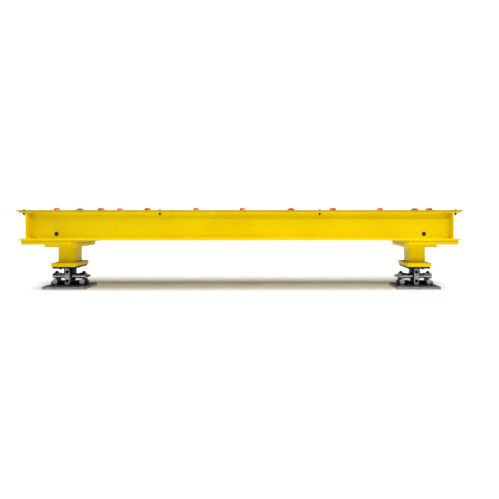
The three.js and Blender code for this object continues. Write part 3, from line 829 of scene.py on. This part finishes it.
pin_end += [(PIN_RADIUS, -PIN_HALF + 1.6)]
pin_master = turned("pin", pin_end + [(radius, -height) for radius, height in reversed(pin_end)], 56)
gland_dome = [(0, 12), (9.9, 12), (10.2, 12.6), (10.2, 20), (9.6, 23)]
gland_dome += [(8, 26), (6.4, 27.4), (5.2, 27.4), (5, 25), (0, 25)]
gland_master = fuse(
    "gland",
    [
        turned("thread", [(0, 0.2), (8.3, 0.2), (8.3, 3.8), (0, 3.8)], 36),
        hexagon("body", 22, 8.5, 3.6, 0.9),
        turned("o_ring", [(8, 2.2), (10.2, 2.2), (10.2, 3.5), (8, 3.5), (8, 2.2)], 36),
        turned("dome", gland_dome, 48),
    ],
)
seal_profile = [(0, 24.9), (4.9, 24.9), (4.9, 27.9), (4.2, 28.4), (2.4, 28.4), (2.2, 27), (0, 27)]
seal_master = turned("seal", seal_profile, 32)
for side, out in (("left", -1), ("right", 1)):
    low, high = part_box(side + "_load_cell")
    middle = (low + high) / 2
    cell = repeat(cell_master, side + "_cell_bar", at(middle.x, middle.y, middle.z, 0, "x"), "platform", ground)
    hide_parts(side + "_load_cell")
    inner_face = at(middle.x - out * CELL_HALF * MM, middle.y, middle.z, 0 if out < 0 else 180, "x")
    gland = repeat(gland_master, side + "_gland", inner_face, "platform", nickel)
    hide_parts(side + "_cable_gland")
    repeat(seal_master, side + "_gland_seal", inner_face, "platform", seal)
    for where in ("inner", "outer"):
        node = f"{side}_{where}_cross_pin"
        low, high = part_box(node)
        middle = (low + high) / 2
        pin = repeat(pin_master, node + "_turned", at(middle.x, middle.y, middle.z, 0, "y"), "platform", zinc)
        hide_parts(node)
discard(cell_master, pin_master, gland_master, seal_master)
print(f"cell {2 * CELL_HALF:.0f} x {2 * CELL_RADIUS:.0f} mm, axis {cell_axis / MM:.1f} mm up")

# %% [markdown]
# The base plate, the top plate with its saddle and the link straps are plate work, so they are rounded copies. The
# link bolts are bought parts: a chamfered head, a washer, the shank with its thread end, and a nut.

# %% Module plates and bolts
for side in ("left", "right"):
    rounded_copy(side + "_base_plate", 1.2, rolled)
    rounded_copy(side + "_module_top_plate", 1.0, blackened)
    for face in ("front", "rear"):
        rounded_copy(f"{side}_{face}_link_plate", 1.0, zinc)
bolt_low, bolt_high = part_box("right_upper_link_bolt")
BOLT_HALF = (bolt_high.y - bolt_low.y) / 2 / MM
shank_profile = [(0, -BOLT_HALF), (6.6, -BOLT_HALF), (8, -BOLT_HALF + 1.4)]
shank_profile += [(8, BOLT_HALF - 1.2), (7, BOLT_HALF), (0, BOLT_HALF)]


def flat_ring(name, inner, outer, base, top, steps):
    """A flat ring in mm between two heights."""
    return turned(name, [(inner, base), (outer, base), (outer, top), (inner, top), (inner, base)], steps)


link_bolt = fuse(
    "link_bolt",
    [
        turned("shank", shank_profile, 40),
        hexagon("head", 20.8, 6.4, BOLT_HALF - 6.6, 1.0),
        flat_ring("washer", 8.1, 12, BOLT_HALF - 9, BOLT_HALF - 6.8, 40),
        hexagon("nut", 20.8, 5.8, -BOLT_HALF + 0.8, 1.0),
        flat_ring("nut_washer", 8.1, 12, 6.8 - BOLT_HALF, 9 - BOLT_HALF, 40),
    ],
)
for side in ("left", "right"):
    for level in ("upper", "lower"):
        node = f"{side}_{level}_link_bolt"
        low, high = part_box(node)
        middle = (low + high) / 2
        bolt = repeat(link_bolt, node + "_hex", at(middle.x, middle.y, middle.z, 180, "y"), "platform", blackened)
        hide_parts(node)
discard(link_bolt)

# %% [markdown]
# A socket screw clamps each end of the cell down, and four more hold the module's top plate to the pillar's foot.

# %% Clamp screws and foot screws
clamp_screw = fuse(
    "clamp_screw",
    [
        turned("washer", [(0, -0.6), (15, -0.6), (15, 2.2), (0, 2.2)], 40),
        turned("head", [(0, 2), (11.4, 2), (12, 2.6), (12, 12.6), (11, 13.6), (6.6, 13.6), (6.2, 6), (0, 6)], 48),
    ],
)
foot_screw = fuse(
    "foot_screw",
    [hexagon("head", 18, 8, -8.6, 0.9), turned("washer", [(0, -1.2), (11, -1.2), (11, 0), (0, 0)], 36)],
)
PIN_SPACING = 220 * MM
FOOT_SCREW_X = 38 * MM
FOOT_SCREW_Y = 72 * MM
TOP_PLATE = 15 * MM
for side in ("left", "right"):
    low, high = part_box(side + "_load_cell")
    middle = (low + high) / 2
    top_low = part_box(side + "_module_top_plate")[1].z - TOP_PLATE
    for number, dx in enumerate((-PIN_SPACING / 2, PIN_SPACING / 2), 1):
        spot = at(middle.x + dx, middle.y, high.z - 0.5 * MM)
        repeat(clamp_screw, f"{side}_clamp_screw_{number}", spot, "platform", blackened)
    corners = [(-1, -1), (1, -1), (-1, 1), (1, 1)]
    for number, (sx, sy) in enumerate(corners, 1):
        spot = at(middle.x + sx * FOOT_SCREW_X, middle.y + sy * FOOT_SCREW_Y, top_low, 11 * number)
        repeat(foot_screw, f"{side}_foot_screw_{number}", spot, "platform", blackened)
discard(clamp_screw, foot_screw)

# %% [markdown]
# ## Welds
#
# Every plate joint on the frame and the feet is closed with a fillet weld. A hand weld is a row of overlapping
# ripples. One ripple is turned as a short barrel, an array repeats it along the joint, and the run is laid in the
# corner between the two plates, half sunk into both.

# %% Weld beads
RIPPLE = 4
BEAD = 4.2


def weld(start, end, size=BEAD):
    """A bead between two points in metres."""
    start, end = Vector(start), Vector(end)
    run = end - start
    count = max(2, round(run.length / MM / RIPPLE))
    step = run.length / MM / count
    ripple = [(size * 0.86, 0), (size, step * 0.45), (size * 0.97, step * 0.75), (size * 0.86, step)]
    piece = turned("bead", ripple, 12)
    modify(
        piece,
        "ARRAY",
        count=count,
        use_relative_offset=False,
        use_constant_offset=True,
        constant_offset_displace=(0, 0, step * MM),
        use_merge_vertices=True,
        merge_threshold=0.00002,
    )
    edit(piece)
    bpy.ops.mesh.fill_holes(sides=0)
    bpy.ops.mesh.select_all(action="SELECT")
    bpy.ops.mesh.normals_make_consistent(inside=False)
    close()
    direction = run.to_track_quat("Z", "Y").to_matrix().to_4x4()
    settle(piece, Matrix.Translation(start) @ direction)
    return piece


def weld_round(name, low, high, level, size=BEAD):
    """Beads along the four sides of a rectangle at a level."""
    corners = [(low.x, low.y), (high.x, low.y), (high.x, high.y), (low.x, high.y)]
    runs = []
    for (x0, y0), (x1, y1) in zip(corners, corners[1:] + corners[:1]):
        runs.append(weld((x0, y0, level), (x1, y1, level), size))
    return dress(fuse(name, runs), name, "platform", weld_enamel)


for side in ("left", "right"):
    low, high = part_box(side + "_pillar")
    weld_round(side + "_pillar_top_weld", low, high, high.z)
    weld_round(side + "_pillar_foot_weld", low, high, low.z)
    low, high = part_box(side + "_pillar_top_plate")
    weld_round(side + "_pillar_plate_weld", low, high, high.z, 3.4)

# %% Welds of the frame
FLANGE_WIDTH = 110 * MM
HALF_WEB = WEB / 2 * MM
FILLET = 14 * MM
EDGE_GAP = 4 * MM
beam_low, beam_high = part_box("left_end_beam")
left_edge = beam_low.x + FLANGE_WIDTH
right_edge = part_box("right_end_beam")[1].x - FLANGE_WIDTH
under = beam_high.z - FLANGE_THICKNESS * MM
over = beam_low.z + FLANGE_THICKNESS * MM
for side, out, edge in (("left", -1, left_edge), ("right", 1, right_edge)):
    web = edge + out * (FLANGE_WIDTH / 2 - HALF_WEB)
    runs = []
    for y_edge, inward in ((beam_low.y, 1), (beam_high.y, -1)):
        web_y = y_edge + inward * FLANGE_WIDTH / 2
        near, bead_end = y_edge + inward * EDGE_GAP, y_edge + inward * FLANGE_WIDTH
        runs.append(weld((edge, near, over), (edge, bead_end, over), 2.6))
        runs.append(weld((edge, near, beam_low.z), (edge, bead_end, beam_low.z), 2.2))
        for face in (-HALF_WEB, HALF_WEB):
            runs.append(weld((web, web_y + face, over + FILLET), (web, web_y + face, under - FILLET)))
    dress(fuse("joint", runs), side + "_frame_weld", "platform", weld_enamel)
    low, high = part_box(side + "_corner_plate")
    runs = [weld((low.x, y, high.z), (high.x, y, high.z), 3.6) for y in (low.y, high.y)]
    dress(fuse("joint", runs), side + "_corner_plate_weld", "platform", weld_enamel)

# %% [markdown]
# ## Studio
#
# The floor is a large pale sheet that runs out of sight, so no edge shows. A wide soft sun, almost overhead, lights
# the whole length evenly and leaves the flange's shadow at the top of the web. A softbox in front and to the right
# lifts the faces that look forwards. The world adds a little light from everywhere, and shows plain white to the
# camera.

# %% Floor and lights
bpy.ops.mesh.primitive_plane_add(size=400)
floor = bpy.context.object
floor.name = "studio_floor"
floor_finish = bpy.data.materials.new("matt_white_floor")
floor_finish.use_nodes = True
floor_shader = floor_finish.node_tree.nodes["Principled BSDF"]
floor_shader.inputs["Base Color"].default_value = linear("#F1F2F5")
floor_shader.inputs["Roughness"].default_value = 0.7
floor.data.materials.append(floor_finish)


def soft_light(name, place, target, size, power):
    """A rectangular soft light that faces a target."""
    lamp = bpy.data.objects.new(name, bpy.data.lights.new(name, "AREA"))
    bpy.context.collection.objects.link(lamp)
    lamp.data.shape = "RECTANGLE"
    lamp.data.size, lamp.data.size_y = size
    lamp.data.energy = power
    lamp.location = place
    lamp.rotation_euler = (Vector(target) - Vector(place)).to_track_quat("-Z", "Y").to_euler()
    return lamp


def soft_sun(name, azimuth, height, spread, power):
    """A sun lamp spread over a wide angle, which lights the whole length of the platform evenly."""
    lamp = bpy.data.objects.new(name, bpy.data.lights.new(name, "SUN"))
    bpy.context.collection.objects.link(lamp)
    lamp.data.angle = math.radians(spread)
    lamp.data.energy = power
    lamp.rotation_euler = (math.radians(90 - height), 0, math.radians(azimuth))
    return lamp


soft_sun("overhead_softbox", 0, 77, 44, 4.1)
soft_light("front_softbox", (1.3, -3.4, 3.6), (0.6, 0, 0.45), (2.6, 0.7), 112)

world = bpy.data.worlds.new("studio")
bpy.context.scene.world = world
world.use_nodes = True
AMBIENT = 0.07
sky = world.node_tree.nodes["Background"]
sky.inputs["Color"].default_value = (1, 1, 1, 1)
sky.inputs["Strength"].default_value = AMBIENT
paper = world.node_tree.nodes.new("ShaderNodeBackground")
sight = world.node_tree.nodes.new("ShaderNodeLightPath")
choice = world.node_tree.nodes.new("ShaderNodeMixShader")
connect = world.node_tree.links.new
connect(sight.outputs["Is Camera Ray"], choice.inputs[0])
connect(sky.outputs[0], choice.inputs[1])
connect(paper.outputs[0], choice.inputs[2])
connect(choice.outputs[0], world.node_tree.nodes["World Output"].inputs["Surface"])
paper.inputs["Color"].default_value = (1, 1, 1, 1)
bpy.context.scene.view_settings.view_transform = "Standard"

# %% Finish
bpy.context.view_layer.update()
